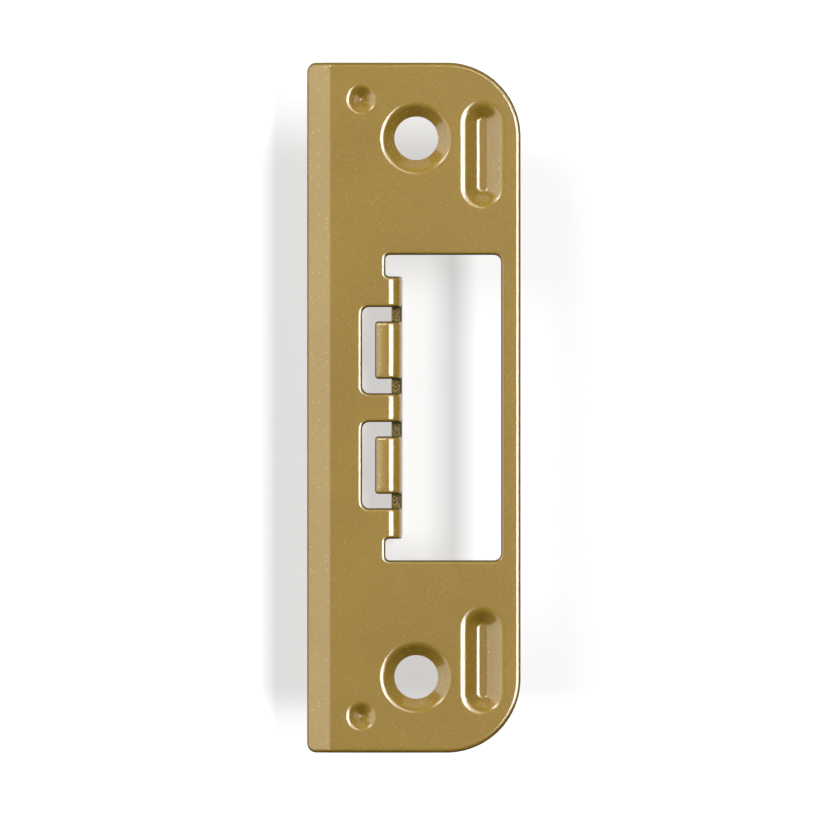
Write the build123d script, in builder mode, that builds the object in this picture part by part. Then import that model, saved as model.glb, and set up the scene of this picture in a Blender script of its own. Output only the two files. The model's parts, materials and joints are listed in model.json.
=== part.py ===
"""Door strike plate, blanked, pressed and folded from one steel sheet.

The plate lies in the X-Z plane as it is fixed to a door frame: X runs across it, Z runs up its
length and Y points into the frame. The origin is midway between the two screw holes, on the seat
plane, where the backs of all the pressings bear. The plate is the same above and below Z = 0,
so its upper half is made and mirrored.
"""
import os
from math import radians, tan

from build123d import *

# Sheet, and the rounding that the blanking press leaves round its outline
sheet = 1.5
edge_roll = 0.3

# Outline, measured from the line through the screw holes
plate_length = 96.0
plain_reach = 14.5
corner_radius = 10.3

# Lip folded back along the edge that the latch meets first
fold_reach = 11.57
lip_width = 3.25
lip_angle = 18.0
lip_corner_radius = 1.3
fold_radius = 0.5

# Opening for the latch bolt
opening_length = 42.5
opening_reach = 11.8
opening_corner_radius = 1.0

# Flange folded into the frame along the opening, with a relief at each end
flange_offset = 1.95
flange_length = 36.5
flange_depth = 10.0
flange_corner_radius = 2.0
bend_radius = 0.5
relief_clearance = 0.35
relief_corner_radius = 0.6
relief_root_radius = 0.3

# Windows across the bend, each round a tab that can be bent to take up play in the latch
window_pitch = 16.0
window_length = 12.0
window_reach = 7.55
window_corner_radius = 1.0
gap_depth = 5.0
gap_corner_radius = 0.4
tab_length = 8.0
tab_leg = 1.5
tab_tilt = 10.0
tab_corner_radius = 0.45

# Pressings, all of one depth so that they share the seat plane
press_depth = 1.3
wall_angle = 45.0

# Screw holes, dished for countersunk heads
hole_pitch = 75.0
hole_diameter = 6.1
dish_diameter = 9.1
dish_rim_radius = 1.4

# Stiffening ribs beside the screw holes
rib_offset = 9.22
rib_margin = 6.05
rib_length = 13.5
rib_width = 4.7
rib_rim_radius = 2.1
rib_floor_radius = 1.3

# Dimples near the lip
dimple_offset = 7.63
dimple_margin = 5.1
dimple_diameter = 3.4
dimple_rim_radius = 1.2

# Places that follow from the sizes above
front = -press_depth - sheet
back = -press_depth
front_plane = Plane.XZ.offset(-front)
flange_face = -flange_offset
bend_line = flange_face - sheet - bend_radius
relief_line = bend_line - relief_clearance
rib_height = plate_length / 2 - rib_margin - rib_length / 2
dimple_height = plate_length / 2 - dimple_margin
wall_turn = radians(wall_angle)
wall_spread = sheet * tan(wall_turn / 2)


def bent_sheet(plane, level, flat_from, bend_from, radius, turn, leg):
    """Section of the sheet: a flat, a bend of the given inner radius and turn, and a straight leg.

    The outer side of the flat lies at `level`. It runs from `flat_from` to `bend_from`, and the
    turn is positive where the leg lies further along than the flat.
    """
    centre = (bend_from, level + sheet + radius)
    with BuildSketch(plane) as section:
        with BuildLine():
            outer = CenterArc(centre, radius + sheet, -90, turn)
            inner = CenterArc(centre, radius, -90, turn)
            Polyline(outer @ 0, (flat_from, level), (flat_from, level + sheet), inner @ 0)
            Polyline(outer @ 1, outer @ 1 + leg * (outer % 1), inner @ 1 + leg * (inner % 1), inner @ 1)
        make_face()
    return section.sketch


def front_profile(width, rim_radius, depth=press_depth):
    """Half section of the hollow on the front of a pressing, from its axis outwards.

    Its wall leaves the front through a rounded rim.
    """
    lid = front - sheet
    rim_x = width / 2 + rim_radius * tan(wall_turn / 2)
    floor_x = width / 2 - depth / tan(wall_turn)
    floor = front + depth
    with BuildSketch() as profile:
        with BuildLine():
            rim = CenterArc((rim_x, front + rim_radius), rim_radius, -90, -wall_angle)
            Polyline(rim @ 1, (floor_x, floor), (0, floor), (0, lid), (rim_x, lid), rim @ 0)
        make_face()
    return profile.sketch


def back_profile(width):
    """Half section of the boss on the back, one sheet thickness away from the hollow."""
    inside = (front + back) / 2
    boss_x = width / 2 + wall_spread
    foot_x = boss_x - press_depth / tan(wall_turn)
    with BuildSketch() as profile:
        with BuildLine():
            Polyline((0, inside), (boss_x, inside), (boss_x, back), (foot_x, 0), (0, 0), close=True)
        make_face()
    return profile.sketch


def pressed_form(profile, run=0.0, floor_radius=0.0):
    """Form turned from a half section, drawn out along the plate by `run`, its floor rounded."""
    with BuildPart() as form:
        revolve(profile.moved(Location((0, 0, run / 2))), Axis((0, 0, run / 2), (0, 1, 0)))
        if run:
            extrude(profile, amount=run / 2)
            mirror(about=Plane.YZ)
            mirror(about=Plane.XY)
        if floor_radius:
            fillet(form.faces().sort_by(Axis.Y)[-1].edges(), floor_radius)
    return form.part


with BuildPart() as flange:
    leg = flange_depth - sheet - bend_radius
    extrude(
        bent_sheet(Plane.XY, front, -window_reach, bend_line, bend_radius, 90, leg),
        amount=flange_length / 2,
    )
    flange_foot = flange.edges().filter_by(Axis.X).sort_by(Axis.Y)[-2:]
    fillet(flange_foot.sort_by(Axis.Z)[-1], flange_corner_radius)

with BuildPart() as tab:
    # The tab stands on the flange, so its section starts there and turns over towards the lip
    upright = Plane(origin=(0, 0, 0), x_dir=(0, -1, 0), z_dir=(0, 0, -1))
    foot = -front - gap_depth - sheet
    bend_from = -front - sheet - bend_radius
    extrude(
        bent_sheet(upright, flange_offset, foot, bend_from, bend_radius, 90 + tab_tilt, tab_leg),
        amount=tab_length / 2,
        both=True,
    )
    tip_edges = tab.faces().sort_by(Axis.X)[0].edges().sort_by(Axis.Z)
    fillet([tip_edges[0], tip_edges[-1]], tab_corner_radius)

# The cone of a screw hole runs on past the bore, through the whole thickness
dish_boss = pressed_form(back_profile(dish_diameter))
dish_hollow = pressed_form(front_profile(dish_diameter, dish_rim_radius, press_depth + sheet))

rib_run = rib_length - rib_width
rib_boss = pressed_form(back_profile(rib_width), rib_run)
rib_hollow = pressed_form(front_profile(rib_width, rib_rim_radius), rib_run, rib_floor_radius)

dimple_boss = pressed_form(back_profile(dimple_diameter))
dimple_hollow = pressed_form(front_profile(dimple_diameter, dimple_rim_radius))

os.makedirs("parts", exist_ok=True)

with BuildPart() as strike_plate:
    # Flat blank with its lip
    extrude(
        bent_sheet(Plane.XY, front, plain_reach, -fold_reach, fold_radius, -lip_angle, lip_width),
        amount=plate_length / 2,
    )
    plain_side = strike_plate.edges().filter_by(Axis.Y).sort_by(Axis.X)[-2:]
    fillet(plain_side.sort_by(Axis.Z)[-1], corner_radius)
    fillet(strike_plate.faces().sort_by(Axis.X)[0].edges().sort_by(Axis.Z)[-1], lip_corner_radius)

    # Latch opening, running into the relief beside the flange
    relief_radius = relief_corner_radius
    opening_radius = opening_corner_radius
    with BuildSketch(front_plane):
        with BuildLine():
            FilletPolyline(
                (relief_line, -opening_length / 2),
                (opening_reach, -opening_length / 2),
                (opening_reach, opening_length / 2),
                (relief_line, opening_length / 2),
                radius=[relief_radius, opening_radius, opening_radius, relief_radius],
                close=True,
            )
        make_face()
    extrude(amount=-2 * sheet, mode=Mode.SUBTRACT)
    add(flange.part)
    relief_edges = strike_plate.edges().filter_by(Axis.Y)
    relief_edges = relief_edges.filter_by_position(Axis.X, relief_line - 0.01, relief_line + 0.01)
    fillet(relief_edges.sort_by(Axis.Z)[0], relief_root_radius)

    # Window round the tab, cut across the bend and into the flange
    window_foot = (window_pitch - window_length) / 2
    window_head = (window_pitch + window_length) / 2
    clear_of_flange = flange_face + sheet
    with BuildSketch(front_plane):
        with BuildLine():
            FilletPolyline(
                (-window_reach, window_foot),
                (clear_of_flange, window_foot),
                (clear_of_flange, window_head),
                (-window_reach, window_head),
                radius=[window_corner_radius, 0, 0, window_corner_radius],
                close=True,
            )
        make_face()
    extrude(amount=-gap_depth, mode=Mode.SUBTRACT)
    with Locations((0, 0, window_pitch / 2)):
        add(tab.part)
    gap_bottom = front + gap_depth
    across = strike_plate.edges().filter_by(Axis.X)
    fillet(across.filter_by_position(Axis.Y, gap_bottom - 0.01, gap_bottom + 0.01), gap_corner_radius)

    # Pressings: every boss is added before the hollows are cut
    hole_place = (0, 0, hole_pitch / 2)
    rib_place = (rib_offset, 0, rib_height)
    dimple_place = (-dimple_offset, 0, dimple_height)
    with Locations(hole_place):
        add(dish_boss)
    with Locations(rib_place):
        add(rib_boss)
    with Locations(dimple_place):
        add(dimple_boss)
    with Locations(hole_place):
        add(dish_hollow, mode=Mode.SUBTRACT)
    with Locations(Location(hole_place, (90, 0, 0))):
        Hole(hole_diameter / 2)
    with Locations(rib_place):
        add(rib_hollow, mode=Mode.SUBTRACT)
    with Locations(dimple_place):
        add(dimple_hollow, mode=Mode.SUBTRACT)

    mirror(about=Plane.XY)

    # The rolled edge runs round the outline, from the flat front over the bend and the lip
    front_face = strike_plate.faces().filter_by(Plane.XZ).sort_by(Axis.Y)[0]
    cut_walls = strike_plate.faces().filter_by(lambda face: abs(face.normal_at().Y) < 0.01)
    fillet(front_face.outer_wire().edges() & cut_walls.edges(), edge_roll)

strike_plate.part.label = "strike_plate"
export_step(strike_plate.part, "parts/strike_plate.step")
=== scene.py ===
"""Looks of a pressed and folded door strike plate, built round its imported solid.

The sheet is drawn flat, as it was before folding: u runs across it and v up its length, in
millimetres, and a depth is measured from its front side into the metal. One triangulation serves
both sides. Each side gets its own depths, and folding then carries it to its place.
"""
import json
from math import ceil, cos, hypot, pi, radians, sin, sqrt, tan

import bpy
import numpy as np
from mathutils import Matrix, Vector
from mathutils.geometry import delaunay_2d_cdt


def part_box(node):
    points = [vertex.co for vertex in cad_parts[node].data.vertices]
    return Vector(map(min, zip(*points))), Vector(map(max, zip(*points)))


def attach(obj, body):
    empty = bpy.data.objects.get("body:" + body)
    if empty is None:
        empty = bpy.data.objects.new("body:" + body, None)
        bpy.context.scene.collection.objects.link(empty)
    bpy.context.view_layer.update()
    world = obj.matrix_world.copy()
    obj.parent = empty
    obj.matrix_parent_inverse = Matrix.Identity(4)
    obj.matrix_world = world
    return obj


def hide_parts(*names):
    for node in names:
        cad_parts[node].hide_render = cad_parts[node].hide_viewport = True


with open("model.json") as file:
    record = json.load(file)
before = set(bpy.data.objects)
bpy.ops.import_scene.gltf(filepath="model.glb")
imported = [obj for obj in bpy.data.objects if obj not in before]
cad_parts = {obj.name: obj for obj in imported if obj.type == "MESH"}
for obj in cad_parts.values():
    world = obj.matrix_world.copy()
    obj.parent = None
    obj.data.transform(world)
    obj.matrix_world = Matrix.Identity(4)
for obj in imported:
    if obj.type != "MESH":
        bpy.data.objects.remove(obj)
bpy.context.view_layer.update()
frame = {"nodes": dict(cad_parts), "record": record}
NODE = "strike_plate"
MM = 0.001

# Sizes read from the frame
low, high = (np.array(corner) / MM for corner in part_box(NODE))
mounts = {mount["name"]: mount for mount in frame["record"]["mounts"]}
HALF_LENGTH = high[2]
PLAIN_REACH = high[0]
FRONT = low[1]
BACK = mounts["back_face"]["pos_m"][1] / MM
FLANGE_DEPTH = high[1] - low[1]
HOLE_HEIGHT = mounts["screw_holes"]["dims"]["spacing_y_mm"] / 2
HOLE_RADIUS = mounts["screw_holes"]["dims"]["hole_r_mm"]
SHEET = BACK - FRONT
PRESS_DEPTH = -BACK

# Outline and lip
CORNER_RADIUS = 10.3
FOLD_AT = -11.57
FOLD_RADIUS = 2.0
LIP_TURN = radians(18.0)
LIP_WIDTH = 3.25
LIP_CORNER_RADIUS = 1.3

# Latch opening and flange
OPENING_HALF = 21.25
OPENING_REACH = 11.8
OPENING_RADIUS = 1.0
FLANGE_FACE = -1.95
FLANGE_HALF = 18.25
FLANGE_CORNER_RADIUS = 2.0
BEND_RADIUS = 2.0
BEND_AT = FLANGE_FACE - BEND_RADIUS
RELIEF_AT = BEND_AT - 0.35
RELIEF_RADIUS = 0.6
RELIEF_ROOT_RADIUS = 0.5

# Windows and tabs
WINDOW_HEIGHT = 8.0
WINDOW_HALF = 6.0
WINDOW_REACH = -7.55
WINDOW_RADIUS = 1.0
GAP_DEPTH = 5.0
GAP_RADIUS = 0.4
TAB_HALF = 4.0
TAB_TURN = radians(100.0)
TAB_LEG = 1.5
TAB_RADIUS = 0.45

# Pressings: where each lies in the upper half, and half of its straight run. `turn` is how steep
# its front wall stands and `half_width` where that wall would meet the front; `back_width` is the
# same for the back's steeper wall. The radii are those of the front's rim and floor and of the
# boss's foot. Its mesh has `samples` points round it, down to a ring at `innermost`.
BACK_TURN = radians(45.0)
BACK_CORNER = 0.15
DISH = {
    "at": (0.0, HOLE_HEIGHT),
    "half_run": 0.0,
    "turn": radians(39.0),
    "half_width": 4.65,
    "back_width": 4.55,
    "rim": 1.4,
    "floor": 0.4,
    "foot": 0.8,
    "samples": 112,
    "innermost": HOLE_RADIUS,
}
RIB = {
    "at": (9.22, 35.2),
    "half_run": 4.5,
    "turn": radians(36.0),
    "half_width": 2.53,
    "back_width": 2.35,
    "rim": 2.06,
    "floor": 1.2,
    "foot": 1.3 + SHEET,
    "samples": 48,
    "innermost": 0.12,
}
DIMPLE = {
    "at": (-7.63, 42.9),
    "half_run": 0.0,
    "turn": radians(40.0),
    "half_width": 1.76,
    "back_width": 1.7,
    "rim": 1.2,
    "floor": 0.4,
    "foot": 0.6 + SHEET,
    "samples": 56,
    "innermost": 0.06,
}

# Blanked edges: a shallow roll that ends in a tight corner, and a small break on the back.
# Each is a width and its parts, given as how deep the part goes and how late it turns down.
# The back's part goes towards the front, so it is negative. A painted shade line runs along the
# edge;
# it has a width and a strength, round the outline and round the openings.
OUTER_ROLL = (0.66, ((0.22, 2.1), (0.08, 9.0)))
INNER_ROLL = (0.56, ((0.16, 2.1), (0.10, 9.0)))
BREAK = (0.12, ((-0.05, 2.4),))
EDGE_SHADE_LINE = ((0.42, 0.38), (0.25, 1.0))

# Distances that count as nothing: from a blanked edge, between two points of the mesh, past the
# border of a part of the sheet, and as a divisor
ON_EDGE = 1e-4
MERGED = 0.01
SLACK = 0.01
TINY = 1e-9

# Fineness of the mesh: the rings along a blanked edge, as shares of its roll, the steps of either
# bend, the fewest steps of an arc, how much closer its points lie than a straight run's, the steps
# of a ring's straight run and of a fold line, and the distances that a pressing's rings keep from
# the innermost one, from each other and past the last
ROLL_SHARES = (0, 0.03, 0.07, 0.12, 0.18, 0.27, 0.4, 0.58, 0.78, 1.0)
LIP_STEPS = 8
BEND_STEPS = 16
ARC_STEPS = 6
ARC_FINENESS = 2.5
RING_STEP = 0.75
FOLD_STEP = 1.0
INNERMOST_CLEAR = 0.04
RING_CLEAR = 0.05
RING_MARGIN = 0.25

# Smallest radius that a moved corner keeps, and the cosine above which two stretches of a blanked
# edge shade as one
LEAST_RADIUS = 0.02
ALIKE = 0.8

# Places along u that folding gives
FLANGE_TOP = BEND_AT + BEND_RADIUS * pi / 2
FLANGE_FOOT = FLANGE_TOP + FLANGE_DEPTH - BEND_RADIUS
GAP_FOOT = FLANGE_TOP + GAP_DEPTH - BEND_RADIUS
TAB_TIP = FLANGE_TOP - BEND_RADIUS * TAB_TURN - TAB_LEG
LIP_TIP = FOLD_AT - FOLD_RADIUS * LIP_TURN - LIP_WIDTH
BETWEEN = (FLANGE_FOOT + OPENING_REACH) / 2


def loop_points(corners, radii, inset=0.0, step=0.8):
    """Closed outline as points, moved by `inset` into the metal, which lies on its left.

    Every inset gives the same number of points, so that neighbouring rings pair up.
    """
    corners = [np.array(corner, float) for corner in corners]
    count = len(corners)
    runs = [corners[(i + 1) % count] - corners[i] for i in range(count)]
    ways = [run / np.linalg.norm(run) for run in runs]
    lefts = [np.array((-way[1], way[0])) for way in ways]
    arcs = []
    trims = []
    for i, corner in enumerate(corners):
        before, after = lefts[i - 1], lefts[i]
        convex = ways[i - 1][0] * ways[i][1] - ways[i - 1][1] * ways[i][0] > 0
        side = 1 if convex else -1
        bisector = (before + after) / (1 + before @ after)
        centre = corner + side * radii[i] * bisector
        radius = max(radii[i] - side * inset, LEAST_RADIUS)
        start = np.arctan2(*(-side * before)[::-1])
        turn = side * np.arccos(np.clip(before @ after, -1, 1))
        steps = max(ARC_STEPS, ceil(radii[i] * abs(turn) / step * ARC_FINENESS))
        angles = start + turn * np.linspace(0, 1, steps + 1)
        arcs.append(centre + radius * np.stack([np.cos(angles), np.sin(angles)], 1))
        trims.append(radii[i] * tan(abs(turn) / 2))
    points = []
    for i, arc in enumerate(arcs):
        points.extend(arc)
        nominal = np.linalg.norm(runs[i]) - trims[i] - trims[(i + 1) % count]
        pieces = max(1, round(nominal / step))
        end = arcs[(i + 1) % count][0]
        for k in range(1, pieces):
            points.append(arc[-1] + (end - arc[-1]) * k / pieces)
    return np.array(points)


def outline_loop(inset=0.0):
    corners = [
        (LIP_TIP, -HALF_LENGTH),
        (PLAIN_REACH, -HALF_LENGTH),
        (PLAIN_REACH, HALF_LENGTH),
        (LIP_TIP, HALF_LENGTH),
    ]
    radii = [LIP_CORNER_RADIUS, CORNER_RADIUS, CORNER_RADIUS, LIP_CORNER_RADIUS]
    return loop_points(corners, radii, inset)


def opening_loop(inset=0.0):
    """Latch opening, with the flange standing into it, in the sheet laid flat."""
    corners = [
        (OPENING_REACH, -OPENING_HALF),
        (RELIEF_AT, -OPENING_HALF),
        (RELIEF_AT, -FLANGE_HALF),
        (FLANGE_FOOT, -FLANGE_HALF),
        (FLANGE_FOOT, FLANGE_HALF),
        (RELIEF_AT, FLANGE_HALF),
        (RELIEF_AT, OPENING_HALF),
        (OPENING_REACH, OPENING_HALF),
    ]
    one_end = [OPENING_RADIUS, RELIEF_RADIUS, RELIEF_ROOT_RADIUS, FLANGE_CORNER_RADIUS]
    return loop_points(corners, one_end + one_end[::-1], inset, step=0.6)


def window_loop(side, inset=0.0):
    """Window round a tab: the tab stands into it from the flange."""
    foot, head = WINDOW_HEIGHT - WINDOW_HALF, WINDOW_HEIGHT + WINDOW_HALF
    tab_foot, tab_head = WINDOW_HEIGHT - TAB_HALF, WINDOW_HEIGHT + TAB_HALF
    corners = [
        (WINDOW_REACH, foot),
        (WINDOW_REACH, head),
        (GAP_FOOT, head),
        (GAP_FOOT, tab_head),
        (TAB_TIP, tab_head),
        (TAB_TIP, tab_foot),
        (GAP_FOOT, tab_foot),
        (GAP_FOOT, foot),
    ]
    one_end = [WINDOW_RADIUS, GAP_RADIUS, GAP_RADIUS, TAB_RADIUS]
    radii = [one_end[0]] + one_end + one_end[:0:-1]
    points = loop_points(corners, radii, inset, step=0.4)
    if side < 0:
        points = points[::-1] * (1, -1)
    return points


def ring(centre, half_run, reach, samples):
    """Ring at one distance from a pressing's middle line, clockwise as the edge of a hole is."""
    angles = np.linspace(0, -pi, samples // 2 + 1)
    lower = np.stack([np.cos(angles), np.sin(angles)], 1) * reach - (0, half_run)
    if half_run == 0:
        return np.array(centre) + np.concatenate([lower[:-1], -lower[:-1]])
    runs = max(1, round(2 * half_run / RING_STEP))
    rise = (np.arange(1, runs) / runs * 2 - 1) * half_run
    left = np.stack([np.full(runs - 1, -reach), rise], 1)
    return np.array(centre) + np.concatenate([lower, left, -lower, -left])


def pressed_depth(reach, turn, half_width, depth, rim, floor):
    """Depth of a pressing's wall and its slope, at a distance from the pressing's middle line."""
    rim_end = half_width + rim * tan(turn / 2)
    floor_end = half_width - depth / tan(turn) - floor * tan(turn / 2)
    in_rim = np.clip((rim_end - reach) / rim, 0, sin(turn))
    in_floor = np.clip((reach - floor_end) / floor, 0, sin(turn))
    on_rim = rim * (1 - np.sqrt(1 - in_rim**2))
    on_floor = depth - floor * (1 - np.sqrt(1 - in_floor**2))
    on_wall = (half_width - reach) * tan(turn)
    past_rim = reach < rim_end - rim * sin(turn)
    past_wall = reach < floor_end + floor * sin(turn)
    deep = np.where(past_wall, on_floor, np.where(past_rim, on_wall, on_rim))
    tilt = np.where(past_wall, in_floor, np.where(past_rim, sin(turn), in_rim))
    return deep, -tilt / np.sqrt(1 - tilt**2)


def stations(turn, half_width, depth, rim, floor, parts=5):
    """Distances from the middle line at which a pressing needs a ring."""
    rim_end = half_width + rim * tan(turn / 2)
    floor_end = half_width - depth / tan(turn) - floor * tan(turn / 2)
    turns = np.linspace(0, turn, parts + 1)
    return list(rim_end - rim * np.sin(turns)) + list(floor_end + floor * np.sin(turns))


def dish_depth():
    """Depth at which the front cone of a screw hole would end, were there no bore."""
    return (DISH["half_width"] - HOLE_RADIUS) * tan(DISH["turn"]) + DISH["rim"]


def both_sides(shape, front_depth):
    """The front hollow and the back boss of a pressing, as arguments of pressed_depth."""
    spread = SHEET * tan(BACK_TURN / 2)
    hollow = (shape["turn"], shape["half_width"], front_depth, shape["rim"], shape["floor"])
    boss = (BACK_TURN, shape["back_width"] + spread, PRESS_DEPTH, BACK_CORNER, shape["foot"])
    return hollow, boss


def pressings():
    """Every pressing as (centre, half run, samples round it, hollow, boss, innermost ring)."""
    found = []
    for end in (1, -1):
        for shape, depth in ((DISH, dish_depth()), (RIB, PRESS_DEPTH), (DIMPLE, PRESS_DEPTH)):
            centre = (shape["at"][0], end * shape["at"][1])
            sides = both_sides(shape, depth)
            found.append((centre, shape["half_run"], shape["samples"], *sides, shape["innermost"]))
    return found


def boundary_loops():
    loops = [outline_loop(), opening_loop(), window_loop(1), window_loop(-1)]
    loops += [ring((0, end * HOLE_HEIGHT), 0, HOLE_RADIUS, DISH["samples"]) for end in (1, -1)]
    return loops


def inside(points, loops):
    """Even-odd test: which points lie in the metal."""
    within = np.zeros(len(points), bool)
    for loop in loops:
        ahead = np.roll(loop, -1, 0)
        for (u0, v0), (u1, v1) in zip(loop, ahead):
            if v0 == v1:
                continue
            spans = (v0 > points[:, 1]) != (v1 > points[:, 1])
            crossing = u0 + (points[:, 1] - v0) * (u1 - u0) / (v1 - v0)
            within ^= spans & (points[:, 0] < crossing)
    return within


def nearest_edge(points, loops):
    """Distance of every point from the blanked edge, and the way from there into the metal."""
    best = np.full(len(points), np.inf)
    way = np.zeros((len(points), 2))
    for loop in loops:
        ahead = np.roll(loop, -1, 0)
        for start, end in zip(loop, ahead):
            run = end - start
            length = hypot(*run)
            along = np.clip((points - start) @ run / length**2, 0, 1)
            gap = points - start - along[:, None] * run
            far = np.hypot(gap[:, 0], gap[:, 1])
            left = np.array((-run[1], run[0])) / length
            at_edge = far < ON_EDGE
            tied = at_edge & (best < ON_EDGE)
            closer = (far < best) & ~tied
            unit = np.where(at_edge[:, None], left, gap / np.maximum(far, ON_EDGE)[:, None])
            way[closer] = unit[closer]
            way[tied] += left
            best = np.minimum(best, far)
    return best, way / np.maximum(np.hypot(way[:, 0], way[:, 1]), TINY)[:, None]


def flat_mesh():
    """Triangulates the sheet laid flat, with rings wherever its surface curves."""
    points = []
    edges = []

    def add_chain(chain, closed=True):
        first = len(points)
        points.extend(chain)
        count = len(chain)
        pairs = count if closed else count - 1
        edges.extend((first + i, first + (i + 1) % count) for i in range(pairs))

    for share in ROLL_SHARES:
        add_chain(outline_loop(share * OUTER_ROLL[0]))
        add_chain(opening_loop(share * INNER_ROLL[0]))
        add_chain(window_loop(1, share * INNER_ROLL[0]))
        add_chain(window_loop(-1, share * INNER_ROLL[0]))
    for centre, half_run, samples, hollow, boss, innermost in pressings():
        wanted = stations(*hollow) + stations(*boss)
        reaches = [reach for reach in wanted if reach > innermost + INNERMOST_CLEAR]
        kept = [innermost]
        for reach in sorted(reaches):
            if reach - kept[-1] > RING_CLEAR:
                kept.append(reach)
        kept.append(max(reaches) + RING_MARGIN)
        for reach in kept:
            add_chain(ring(centre, half_run, reach, samples))
    for u, v0, v1 in fold_lines():
        pieces = max(1, round((v1 - v0) / FOLD_STEP))
        add_chain([(u, v0 + (v1 - v0) * k / pieces) for k in range(pieces + 1)], closed=False)
    points.extend(filling(points))
    flat = [Vector(point) for point in points]
    found, _, faces, _, _, _ = delaunay_2d_cdt(flat, edges, [], 0, MERGED)
    found = np.array([tuple(point) for point in found])
    faces = np.array([face for face in faces])
    faces = faces[inside(found[faces].mean(1), boundary_loops())]
    used, faces = np.unique(faces, return_inverse=True)
    return found[used], faces.reshape(-1, 3)


def fold_lines():
    """Lines across which the sheet bends, as (u, lowest v, highest v)."""
    lines = []
    for share in np.linspace(0, 1, LIP_STEPS + 1):
        lines.append((FOLD_AT - share * FOLD_RADIUS * LIP_TURN, -HALF_LENGTH, HALF_LENGTH))
    window_foot, window_head = WINDOW_HEIGHT - WINDOW_HALF, WINDOW_HEIGHT + WINDOW_HALF
    tab_foot, tab_head = WINDOW_HEIGHT - TAB_HALF, WINDOW_HEIGHT + TAB_HALF
    for share in np.linspace(0, 1, BEND_STEPS + 1):
        flange_line = BEND_AT + share * BEND_RADIUS * pi / 2
        lines.append((flange_line, -window_foot, window_foot))
        for foot, head in ((window_head, FLANGE_HALF), (-FLANGE_HALF, -window_head)):
            lines.append((flange_line, foot, head))
        tab_line = FLANGE_TOP - share * BEND_RADIUS * TAB_TURN
        for foot, head in ((tab_foot, tab_head), (-tab_head, -tab_foot)):
            lines.append((tab_line, foot, head))
    return lines


def filling(points, pitch=1.6, clear=0.7):
    """Even points for the plain stretches, clear of the rings and lines already there."""
    taken = np.array(points)
    extra = []
    rows = np.arange(-HALF_LENGTH + pitch / 2, HALF_LENGTH, pitch * sqrt(3) / 2)
    for k, v in enumerate(rows):
        for u in np.arange(LIP_TIP + pitch * (0.5 + 0.5 * (k % 2)), PLAIN_REACH, pitch):
            if np.hypot(taken[:, 0] - u, taken[:, 1] - v).min() > clear:
                extra.append((u, v))
    return extra


def bend(past, radius, turn):
    """Along a bend and the leg after it: how far on, how far aside, and the angle turned."""
    angle = np.clip(past / radius, 0, turn)
    leg = np.maximum(past - radius * turn, 0)
    onward = radius * np.sin(angle) + leg * cos(turn)
    aside = radius * (1 - np.cos(angle)) + leg * sin(turn)
    return onward, aside, angle


def fold(points):
    """Folds the front side of the flat sheet.

    Returns its X and Y, the outward normal there and the way that u runs, both in the X-Y plane.
    """
    u, v = points.T
    place = np.stack([u, np.full(len(u), FRONT)], 1)
    normal = np.tile((0.0, -1.0), (len(u), 1))
    along = np.tile((1.0, 0.0), (len(u), 1))

    lip = u < FOLD_AT
    onward, aside, angle = bend(FOLD_AT - u[lip], FOLD_RADIUS, LIP_TURN)
    place[lip] = np.stack([FOLD_AT - onward, FRONT + aside], 1)
    normal[lip] = np.stack([-np.sin(angle), -np.cos(angle)], 1)
    along[lip] = np.stack([np.cos(angle), -np.sin(angle)], 1)

    by_tab = (np.abs(np.abs(v) - WINDOW_HEIGHT) < TAB_HALF + SLACK) & (u > TAB_TIP - SLACK)
    tab = by_tab & (u < FLANGE_TOP)
    flange = (np.abs(v) < FLANGE_HALF + SLACK) & (u > BEND_AT) & (u < BETWEEN) & ~tab
    onward, aside, angle = bend(u[flange] - BEND_AT, BEND_RADIUS, pi / 2)
    place[flange] = np.stack([BEND_AT + onward, FRONT + aside], 1)
    normal[flange] = np.stack([np.sin(angle), -np.cos(angle)], 1)
    along[flange] = np.stack([np.cos(angle), np.sin(angle)], 1)

    onward, aside, angle = bend(FLANGE_TOP - u[tab], BEND_RADIUS, TAB_TURN)
    place[tab] = np.stack([FLANGE_FACE - aside, FRONT + BEND_RADIUS - onward], 1)
    normal[tab] = np.stack([np.cos(angle), -np.sin(angle)], 1)
    along[tab] = np.stack([np.sin(angle), np.cos(angle)], 1)
    return place, normal, along


def from_middle(points, centre, half_run):
    """Way from a pressing's middle line to every point, and its length."""
    gap = points - centre
    gap[:, 1] -= np.clip(gap[:, 1], -half_run, half_run)
    return gap, np.hypot(gap[:, 0], gap[:, 1])


def wall_share(points, which):
    """How steep the pressings are at every point of a side, as a share of their steepest."""
    share = np.zeros(len(points))
    for centre, half_run, _, hollow, boss, _ in pressings():
        shape = hollow if which == 0 else boss
        _, steepness = pressed_depth(from_middle(points, centre, half_run)[1], *shape)
        share = np.maximum(share, -steepness / tan(shape[0]))
    return share


def side_depths(points, edges, which):
    """Depth below the front side of the flat sheet, and the depth's slope, on one side of it."""
    front = which == 0
    deep = np.zeros(len(points)) if front else np.full(len(points), SHEET)
    slope = np.zeros((len(points), 2))
    for (gap, way), roll in zip(edges, (OUTER_ROLL, INNER_ROLL)):
        width, parts = roll if front else BREAK
        left = np.clip(1 - gap / width, 0, 1)
        for drop, power in parts:
            deep += drop * left**power
            slope -= (drop * power / width * left ** (power - 1))[:, None] * way
    for centre, half_run, _, hollow, boss, _ in pressings():
        gap, reach = from_middle(points, centre, half_run)
        pressed, steepness = pressed_depth(reach, *(hollow if front else boss))
        deep += pressed
        slope += steepness[:, None] * gap / np.maximum(reach, TINY)[:, None]
    return deep, slope


def folded_side(points, deep, slope):
    """Places and outward normals of a side of the sheet at these depths, after folding."""
    place, normal, along = fold(points)
    at = place - normal * deep[:, None]
    facing = normal + slope[:, :1] * along
    places = np.column_stack([at, points[:, 1]])
    normals = np.column_stack([facing, slope[:, 1]])
    return places, normals / np.linalg.norm(normals, axis=1)[:, None]


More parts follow.
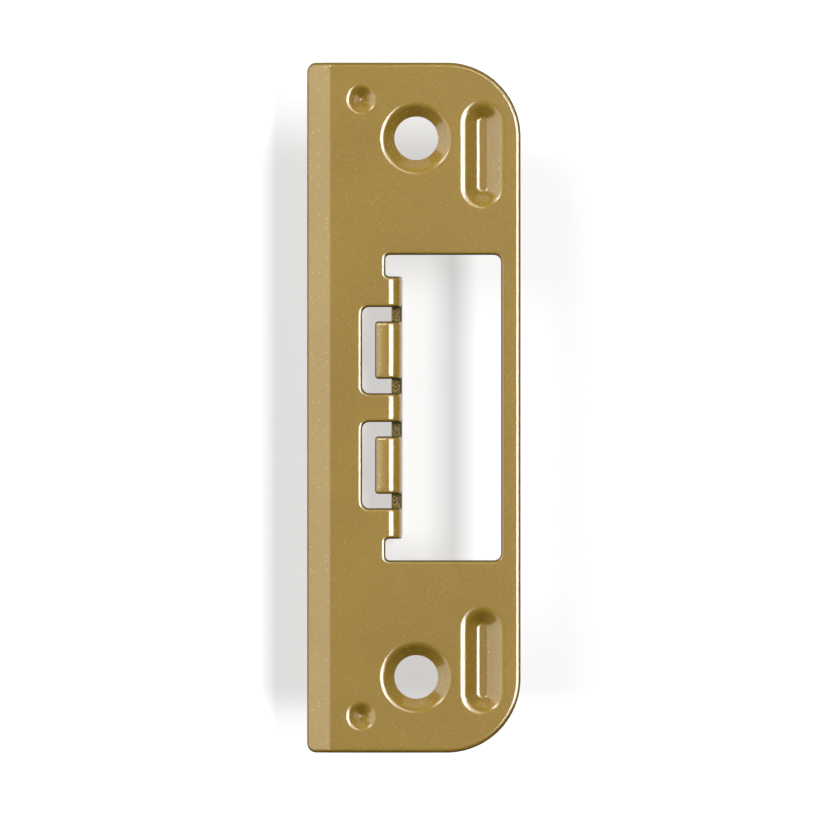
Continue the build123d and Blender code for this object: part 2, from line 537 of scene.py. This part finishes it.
def rim_edges(faces):
    """Edges that belong to one triangle only, in that triangle's direction."""
    pairs = np.concatenate([faces[:, [0, 1]], faces[:, [1, 2]], faces[:, [2, 0]]])
    known = {tuple(pair) for pair in pairs.tolist()}
    return [pair for pair in known if pair[::-1] not in known]


def edge_wall(points, rim, first):
    """Wall of the blanked edge: faces from the front's rim to the back's, and their normals.

    The back's points are numbered as the front's are, from `first` on.
    """
    _, _, along = fold(points)
    ahead = dict(rim)
    behind = {end: start for start, end in rim}

    def across(start, end):
        """Way out of the metal, square to a stretch of the edge."""
        run = points[end] - points[start]
        return np.array((run[1], -run[0])) / hypot(*run)

    def outward(vertex, own):
        """Normal at an end of the stretch that faces `own`, shared with a neighbour like it."""
        near = [across(behind[vertex], vertex), across(vertex, ahead[vertex])]
        agreeing = [way for way in near if way @ own > ALIKE] or [own]
        way = sum(agreeing) / len(agreeing)
        facing = np.array((*(way[0] * along[vertex]), way[1]))
        return facing / np.linalg.norm(facing)

    faces = []
    normals = []
    for start, end in rim:
        own = across(start, end)
        at_start, at_end = outward(start, own), outward(end, own)
        faces.append((start, first + start, first + end, end))
        normals.extend([at_start, at_start, at_end, at_end])
    return faces, normals


def mark_painted_shade(mesh, points, edges):
    """Stores where painted shade darkens the paint: along the blanked edges and on the pressings'
    walls.
    """
    lines = []
    for (gap, _), (width, strength) in zip(edges, EDGE_SHADE_LINE):
        lines.append(strength * np.clip(1 - gap / width, 0, 1))
    closeness = np.max(lines, 0)
    shares = [wall_share(points, which) for which in (0, 1)]
    for name, values in (("edge_closeness", [closeness, closeness]), ("wall_share", shares)):
        attribute = mesh.attributes.new(name, "FLOAT", "POINT")
        attribute.data.foreach_set("value", np.concatenate(values).astype(np.float32))


def sheet_mesh():
    """The whole plate as one closed mesh, with exact normals. Its blanked edges are slot 1."""
    points, faces = flat_mesh()
    run = points[faces[:, 1]] - points[faces[:, 0]]
    rise = points[faces[:, 2]] - points[faces[:, 0]]
    clockwise = run[:, 0] * rise[:, 1] < run[:, 1] * rise[:, 0]
    faces[clockwise] = faces[clockwise][:, ::-1]
    loops = boundary_loops()
    edges = [nearest_edge(points, loops[:1]), nearest_edge(points, loops[1:4])]
    sides = [folded_side(points, *side_depths(points, edges, which)) for which in (0, 1)]
    (front_places, front_normals), (back_places, back_normals) = sides
    count = len(points)
    walls, wall_normals = edge_wall(points, rim_edges(faces), count)
    front_faces = faces.tolist()
    back_faces = (faces[:, ::-1] + count).tolist()
    mesh = bpy.data.meshes.new("plate_sheet")
    places = np.concatenate([front_places, back_places]) * MM
    mesh.from_pydata(places.tolist(), [], front_faces + back_faces + walls)
    normals = np.concatenate(
        [
            front_normals[faces.ravel()],
            -back_normals[faces[:, ::-1].ravel()],
            np.array(wall_normals),
        ]
    )
    mark_painted_shade(mesh, points, edges)
    slots = np.zeros(len(mesh.polygons), np.int32)
    slots[2 * len(faces):] = 1
    mesh.polygons.foreach_set("material_index", slots)
    mesh.polygons.foreach_set("use_smooth", np.ones(len(mesh.polygons), bool))
    mesh.normals_split_custom_set(normals.tolist())
    mesh.update()
    return mesh


plate_mesh = sheet_mesh()
plate = bpy.data.objects.new("strike_plate_sheet", plate_mesh)
bpy.context.collection.objects.link(plate)
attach(plate, "root")
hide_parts(NODE)


# Paint. Its colour varies over broad patches, and its tone and roughness over a fine grain. Painted
# shade lowers the tone on the pressings' walls, and a painted shade line runs dark along the
# blanked
# edges. Each of these is a ramp: the places and the levels or colours of its stops.
PAINT_TONES = ((0.3, (0.330, 0.203, 0.026)), (0.7, (0.370, 0.232, 0.034)))
GRAIN_TONES = ((0.3, 0.86), (0.7, 1.13))
GRAIN_ROUGHNESS = ((0.2, 0.30), (0.8, 0.42))
# Painted shade: the tone is lowered on the pressings' steep walls
WALL_SHADE_TONES = ((0.3, 1.0), (1.0, 0.86))
# Painted shade line along the blanked edges: where it shows, and its colour
EDGE_SHADE_SHARES = ((0.0, 0.0), (0.45, 0.95))
EDGE_SHADE_COLOUR = (0.055, 0.040, 0.012)

# Sizes of the patches and the grain, and of the relief, which is part orange peel and part pits
BROAD_SIZE = 14.0
GRAIN_SIZE = 0.22
PEEL_SIZE = 0.7
PIT_SIZE = 0.16
PIT_SHARE = 0.6
PEEL_DEPTH = 0.02

# Flakes, common and rare: a cell's size, the share of the cells that hold a flake, the flake's
# reach in its cell, and how much of its colour shows
FLAKES = ((0.32, 0.16, 0.5, 0.36), (0.62, 0.05, 0.24, 0.65))
FLAKE_COLOUR = (0.74, 0.58, 0.24)

# Blanked edge: its tones from the hollows of the torn metal to its tips, the torn metal's own
# mottle with painted shade in the hollows and painted highlights on the tips, and the tears'
# roughness, size and depth
TORN_TONES_AND_SHADE = (
    (0.38, (0.014, 0.010, 0.002)),
    (0.48, (0.19, 0.135, 0.026)),
    (0.57, (0.40, 0.31, 0.08)),
    (0.66, (0.70, 0.60, 0.32)),
)
TORN_ROUGHNESS = ((0.2, 0.45), (0.8, 0.65))
TEAR_SIZE = 0.25
TEAR_DEPTH = 0.05


def new_material(name):
    """Empty node material, and a function that adds a node to it."""
    material = bpy.data.materials.new(name)
    material.use_nodes = True
    material.node_tree.nodes.clear()
    return material, node_adder(material.node_tree)


def node_adder(tree):
    """Function that adds a node, sets its fields and fills its inputs with values or links.

    An input is given by its name, or by its place where several have the same name.
    """

    def add(kind, inputs=None, **fields):
        node = tree.nodes.new(kind)
        for name, value in fields.items():
            setattr(node, name, value)
        for key, value in (inputs or {}).items():
            if isinstance(value, bpy.types.NodeSocket):
                tree.links.new(value, node.inputs[key])
            else:
                node.inputs[key].default_value = value
        return node

    return add


def opaque(colour):
    """A colour with its alpha; a link stays as it is."""
    return (*colour, 1) if isinstance(colour, tuple) else colour


def ramp(add, value, stops):
    """Colour ramp over a value; each stop is a place and a grey level or a colour."""
    node = add("ShaderNodeValToRGB", {"Fac": value})
    elements = node.color_ramp.elements
    while len(elements) < len(stops):
        elements.new(0.5)
    for element, (place, colour) in zip(elements, stops):
        element.position = place
        element.color = opaque(colour if isinstance(colour, tuple) else (colour,) * 3)
    return node.outputs["Color"]


def blend_colours(add, factor, first, second, kind="MIX"):
    """Mix of two colours. The node's inputs 6 and 7 and its output 2 are the ones for colours."""
    inputs = {0: factor, 6: opaque(first), 7: opaque(second)}
    return add("ShaderNodeMix", inputs, data_type="RGBA", blend_type=kind).outputs[2]


def map_range(add, value, start, end, first, last, curve="LINEAR"):
    """Goes from the first level to the last as the value goes from start to end."""
    inputs = {"Value": value, "From Min": start, "From Max": end, "To Min": first, "To Max": last}
    return add("ShaderNodeMapRange", inputs, interpolation_type=curve).outputs["Result"]


def noise(add, place, size, detail=2.0, roughness=0.5):
    """Noise whose features are about `size` millimetres across."""
    fields = {"Vector": place, "Scale": 1 / (size * MM), "Detail": detail, "Roughness": roughness}
    return add("ShaderNodeTexNoise", fields).outputs["Fac"]


def flakes(add, place, size, share, reach):
    """Mask of small bright flakes: a share of the cells of a pattern, each a dot in its cell."""
    cells = add("ShaderNodeTexVoronoi", {"Vector": place, "Scale": 1 / (size * MM)})
    chosen = ramp(add, cells.outputs["Color"], [(1 - share - 0.01, 0.0), (1 - share, 1.0)])
    dot = ramp(add, cells.outputs["Distance"], [(reach * 0.5, 1.0), (reach, 0.0)])
    return blend_colours(add, 1.0, chosen, dot, "MULTIPLY")


def paint_material():
    """Champagne metallic powder paint: fine flakes in a glossy binder with a slight orange peel.

    Painted shade darkens it on the pressings' walls and along the blanked edges.
    """
    material, add = new_material("painted_sheet")
    place = add("ShaderNodeTexCoord").outputs["Object"]
    edge = add("ShaderNodeAttribute", attribute_name="edge_closeness").outputs["Fac"]
    wall = add("ShaderNodeAttribute", attribute_name="wall_share").outputs["Fac"]

    broad = noise(add, place, BROAD_SIZE, detail=3.0)
    fine = noise(add, place, GRAIN_SIZE, detail=3.0, roughness=0.7)
    colour = ramp(add, broad, PAINT_TONES)
    # Random grain, then painted shade on the pressings' walls
    for value, tones in ((fine, GRAIN_TONES), (wall, WALL_SHADE_TONES)):
        colour = blend_colours(add, 1.0, colour, ramp(add, value, tones), "MULTIPLY")
    for size, share, reach, strength in FLAKES:
        shown = ramp(add, flakes(add, place, size, share, reach), [(0.0, 0.0), (1.0, strength)])
        colour = blend_colours(add, shown, colour, FLAKE_COLOUR)
    # Painted shade line along the blanked edges
    colour = blend_colours(add, ramp(add, edge, EDGE_SHADE_SHARES), colour, EDGE_SHADE_COLOUR)

    peel = noise(add, place, PEEL_SIZE)
    pitted = noise(add, place, PIT_SIZE, roughness=0.6)
    height = blend_colours(add, PIT_SHARE, peel, pitted)
    relief = {"Height": height, "Strength": 0.45, "Distance": PEEL_DEPTH * MM}
    bumped = add("ShaderNodeBump", relief).outputs["Normal"]
    shader = add(
        "ShaderNodeBsdfPrincipled",
        {
            "Base Color": colour,
            "Roughness": ramp(add, fine, GRAIN_ROUGHNESS),
            "Specular IOR Level": 0.0,
            "Coat Weight": 1.0,
            "Coat Roughness": 0.15,
            "Coat IOR": 1.5,
            "Normal": bumped,
            "Coat Normal": bumped,
        },
    )
    add("ShaderNodeOutputMaterial", {"Surface": shader.outputs["BSDF"]})
    return material


def edge_material():
    """Blanked edge under thin paint: darker, rougher and torn by the press.

    Painted shade fills the tears' hollows, and painted highlights lie on their tips.
    """
    material, add = new_material("painted_blanked_edge")
    place = add("ShaderNodeTexCoord").outputs["Object"]
    torn = noise(add, place, TEAR_SIZE, detail=4.0, roughness=0.75)
    relief = {"Height": torn, "Strength": 0.8, "Distance": TEAR_DEPTH * MM}
    shader = add(
        "ShaderNodeBsdfPrincipled",
        {
            "Base Color": ramp(add, torn, TORN_TONES_AND_SHADE),
            "Roughness": ramp(add, torn, TORN_ROUGHNESS),
            "Specular IOR Level": 0.1,
            "Normal": add("ShaderNodeBump", relief).outputs["Normal"],
        },
    )
    add("ShaderNodeOutputMaterial", {"Surface": shader.outputs["BSDF"]})
    return material


plate_mesh.materials.append(paint_material())
plate_mesh.materials.append(edge_material())
cad_plate = frame["nodes"][NODE]
cad_plate.data.materials.clear()
cad_plate.data.materials.append(plate_mesh.materials[0])


# Stage: a white wall close behind the plate, a little nearer on the left, and a floor below
WALL_GAP = 0.25
WALL_SLOPE = 0.107
FLOOR_LEVEL = -75.0
WALL_HALF = 250.0
WALL_HEIGHT = 250.0
FLOOR_HALF = 1500.0
STAGE_ALBEDO = 0.35
FLOOR_GLOW = 1.0

# The wall glows more beside the plate's two ends: between these heights its shadow fades out
WALL_GLOW = 0.57
WALL_END_GLOW = 0.26
FADES = ((33.0, 45.0), (-38.5, -45.0))


def end_glow(add):
    """Glow of the wall, by its height."""
    place = add("ShaderNodeTexCoord").outputs["Object"]
    height = add("ShaderNodeSeparateXYZ", {"Vector": place}).outputs["Z"]
    level = WALL_GLOW
    for start, end in FADES:
        part = map_range(add, height, start * MM, end * MM, 0.0, WALL_END_GLOW, "SMOOTHSTEP")
        level = add("ShaderNodeMath", {0: level, 1: part}, operation="ADD").outputs["Value"]
    return level


def stage_material(name, seen_from_behind):
    """White that keeps the plate's shadow; its glow lifts the lit part to a clean white.

    From behind it looks the same, or else it is clear and doesn't hide the plate.
    """
    material, add = new_material(name)
    cloth = add("ShaderNodeBsdfDiffuse", {"Color": opaque((STAGE_ALBEDO,) * 3)}).outputs[0]
    level = FLOOR_GLOW if seen_from_behind else end_glow(add)
    glow = add("ShaderNodeEmission", {"Strength": level}).outputs[0]
    surface = add("ShaderNodeAddShader", {0: cloth, 1: glow}).outputs[0]
    if not seen_from_behind:
        clear = add("ShaderNodeBsdfTransparent").outputs[0]
        behind = add("ShaderNodeNewGeometry").outputs["Backfacing"]
        surface = add("ShaderNodeMixShader", {0: behind, 1: surface, 2: clear}).outputs[0]
    add("ShaderNodeOutputMaterial", {"Surface": surface})
    return material


def stage_sheet(name, corners, material):
    mesh = bpy.data.meshes.new(name)
    places = [tuple(value * MM for value in corner) for corner in corners]
    mesh.from_pydata(places, [], [(0, 1, 2, 3)])
    mesh.materials.append(material)
    sheet = bpy.data.objects.new(name, mesh)
    bpy.context.collection.objects.link(sheet)
    sheet.visible_diffuse = False
    sheet.visible_glossy = False
    sheet.visible_shadow = False
    return sheet


wall_left, wall_right = (
    (x, high[1] + WALL_GAP + WALL_SLOPE * (x - FLANGE_FACE)) for x in (-WALL_HALF, WALL_HALF)
)
wall = stage_sheet(
    "wall",
    [
        (*wall_left, FLOOR_LEVEL),
        (*wall_right, FLOOR_LEVEL),
        (*wall_right, WALL_HEIGHT),
        (*wall_left, WALL_HEIGHT),
    ],
    stage_material("wall_white", seen_from_behind=False),
)
floor = stage_sheet(
    "floor",
    [
        (-FLOOR_HALF, -FLOOR_HALF, FLOOR_LEVEL),
        (FLOOR_HALF, -FLOOR_HALF, FLOOR_LEVEL),
        (FLOOR_HALF, FLOOR_HALF, FLOOR_LEVEL),
        (-FLOOR_HALF, FLOOR_HALF, FLOOR_LEVEL),
    ],
    stage_material("floor_white", seen_from_behind=True),
)


# Distance of every lamp, in metres
LAMP_DISTANCE = 1.0


def towards(azimuth, elevation):
    """Direction from the plate. Azimuth 0 is the camera's side and 90 is +X."""
    a, e = radians(azimuth), radians(elevation)
    return Vector((sin(a) * cos(e), -cos(a) * cos(e), sin(e)))


def lamp(name, azimuth, elevation, wide, tall, level, diffuse=True, glossy=True):
    """Soft box that spans `wide` by `tall` degrees as the plate sees it, with this radiance."""
    light = bpy.data.lights.new(name, "AREA")
    light.shape = "RECTANGLE"
    light.size = 2 * LAMP_DISTANCE * tan(radians(wide / 2))
    light.size_y = 2 * LAMP_DISTANCE * tan(radians(tall / 2))
    light.energy = level * pi * light.size * light.size_y
    holder = bpy.data.objects.new(name, light)
    way = towards(azimuth, elevation)
    holder.location = way * LAMP_DISTANCE
    holder.rotation_mode = "QUATERNION"
    holder.rotation_quaternion = way.to_track_quat("Z", "Y")
    holder.visible_camera = False
    holder.visible_diffuse = diffuse
    holder.visible_glossy = glossy
    bpy.context.collection.objects.link(holder)
    return holder


def lit_only(name, receivers):
    """Collection for lamps that light nothing else."""
    group = bpy.data.collections.new(name)
    for receiver in receivers:
        group.objects.link(receiver)
    return group


plate_only = lit_only("plate_only", [plate])
stage_only = lit_only("stage_only", [wall, floor])

# Lamps that light the sheet's colour, then cards that only show as reflections in its gloss
for holder in (
    lamp("left_lamp", -60, 20, 50, 50, 4.0, glossy=False),
    lamp("right_lamp", 60, 20, 40, 40, 4.3, glossy=False),
    lamp("front_lamp", 0, 8, 30, 30, 2.5, glossy=False),
    lamp("back_lamp", 160, 30, 60, 60, 1.6, glossy=False),
    lamp("right_card", 26, -0.5, 33, 27, 24.0, diffuse=False),
    lamp("front_card", 0, 0, 60, 60, 0.38, diffuse=False),
    lamp("left_card", -62, 3, 44, 62, 3.2, diffuse=False),
    lamp("left_card_second", -33.5, 5, 12, 70, 3.8, diffuse=False),
    lamp("left_card_third", -20, 5, 12, 70, 0.6, diffuse=False),
    lamp("rim_card", 130, 0, 50, 60, 1.8, diffuse=False),
    lamp("top_card", 19, 21, 34, 12, 8.0, diffuse=False),
    lamp("corner_card", -24, 20, 8, 12, 26.0, diffuse=False),
    lamp("roof_card", 0, 82, 60, 30, 1.1, diffuse=False),
):
    holder.light_linking.receiver_collection = plate_only

# Lamps for the wall behind: the plate's soft shadow falls to its left, and faintly to its right
for holder in (
    lamp("wall_lamp_right", 38.5, 4, 14, 47, 18.5),
    lamp("wall_lamp_left", -38, 30, 20, 40, 8.0),
):
    holder.light_linking.receiver_collection = stage_only


# Level of the surroundings: each axis of the direction has a part in it, which goes from one level
# to another between two places along that axis
SURROUNDINGS = (
    ("Y", -0.6, 0.6, 0.27, 0.85),
    ("Z", -0.5, 0.4, 0.10, 0.45),
    ("X", 0.9, 0.3, 0.3, 1.0),
)


def world_light():
    """Even studio surroundings: white behind the plate, dimmer on the camera's side and below."""
    world = bpy.data.worlds.new("studio")
    bpy.context.scene.world = world
    world.use_nodes = True
    tree = world.node_tree
    tree.nodes.clear()
    add = node_adder(tree)
    way = add("ShaderNodeSeparateXYZ", {"Vector": add("ShaderNodeTexCoord").outputs["Generated"]})
    level = 1.0
    for axis, start, end, first, last in SURROUNDINGS:
        part = map_range(add, way.outputs[axis], start, end, first, last)
        level = add("ShaderNodeMath", {0: level, 1: part}, operation="MULTIPLY").outputs["Value"]
    # Past the stage, the camera sees plain white
    seen = add("ShaderNodeLightPath").outputs["Is Camera Ray"]
    shown = add("ShaderNodeMath", {0: level, 1: seen}, operation="MAXIMUM").outputs["Value"]
    sky = add("ShaderNodeBackground", {"Color": (1, 1, 1, 1), "Strength": shown})
    add("ShaderNodeOutputWorld", {"Surface": sky.outputs["Background"]})


world_light()

# Camera: square on to the plate, far off, with the photograph's framing
FRAME_WIDTH = 115.15
AXIS_X = -0.32
AXIS_Z = -0.89
LENS = 500.0
camera_data = bpy.data.cameras.new("camera")
camera_data.lens = LENS
camera = bpy.data.objects.new("camera", camera_data)
camera_distance = FRAME_WIDTH * LENS / camera_data.sensor_width
camera.location = Vector((AXIS_X, FRONT - camera_distance, AXIS_Z)) * MM
camera.rotation_euler = (pi / 2, 0, 0)
camera_data.clip_start = 0.01
camera_data.clip_end = 20.0
bpy.context.collection.objects.link(camera)
bpy.context.scene.camera = camera
bpy.context.scene.view_settings.view_transform = "Standard"

bpy.context.view_layer.update()
